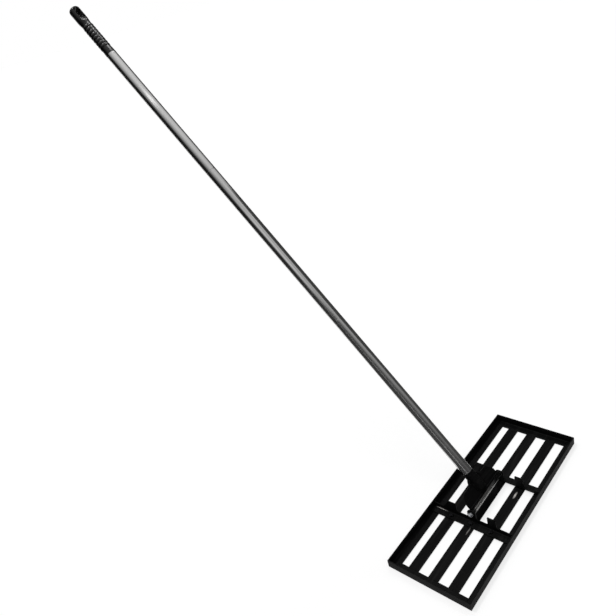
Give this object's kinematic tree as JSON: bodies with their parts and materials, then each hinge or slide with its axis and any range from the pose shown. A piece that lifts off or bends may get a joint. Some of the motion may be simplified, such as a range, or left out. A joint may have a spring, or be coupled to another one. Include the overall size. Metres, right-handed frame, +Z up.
{
  "type": "lawn leveling rake",
  "caption": "Lawn leveling rake: flat steel grid of slats in angle-iron rails, with a long screw-together pole that swings on a bolt across the head.",
  "frame": {"origin": "middle of the middle slat's underside, on the ground", "axes": "+X along the head to its right end, +Y to the rear where the pole leans, +Z up"},
  "size_m": [0.65, 1.318, 1.4932],
  "materials": {
    "coated_steel": "satin black powder coat",
    "zinc_steel": "bright zinc plate",
    "bare_steel": "bare turned steel",
    "stainless_tube": "polished stainless",
    "grey_nylon": "moulded",
    "black_nylon": "moulded",
    "black_zinc": "black zinc plate",
    "grip_plastic": "moulded satin"
  },
  "bodies": {
    "head": {"front_rail": "coated_steel", "rear_rail": "coated_steel", "left_end_rail": "coated_steel", "right_end_rail": "coated_steel", "front_slat": "coated_steel", "middle_slat": "coated_steel", "rear_slat": "coated_steel", "left_cross_plate": "coated_steel", "right_cross_plate": "coated_steel", "frame_screws": "black_zinc", "frame_nuts": "black_zinc", "pivot_bolt": "zinc_steel", "pivot_washers": "black_zinc", "pivot_locknut": "black_zinc", "thrust_washers": "black_nylon"},
    "handle": {"pivot_sleeve": "bare_steel", "yoke_plate": "coated_steel", "pole_stub": "coated_steel", "stub_socket": "grey_nylon", "lower_stud": "grey_nylon", "lower_tube": "stainless_tube", "lower_socket": "grey_nylon", "middle_stud": "grey_nylon", "middle_tube": "stainless_tube", "middle_socket": "grey_nylon", "upper_stud": "grey_nylon", "upper_tube": "stainless_tube", "grip": "grip_plastic", "pole_ferrule": "stainless_tube"}
  },
  "joints": [
    {"name": "handle_swing", "type": "hinge", "parent": "head", "child": "handle", "pos_m": [0, 0, 0.035], "axis": [1, 0, 0], "range_deg": [-46, 125]}
  ]
}
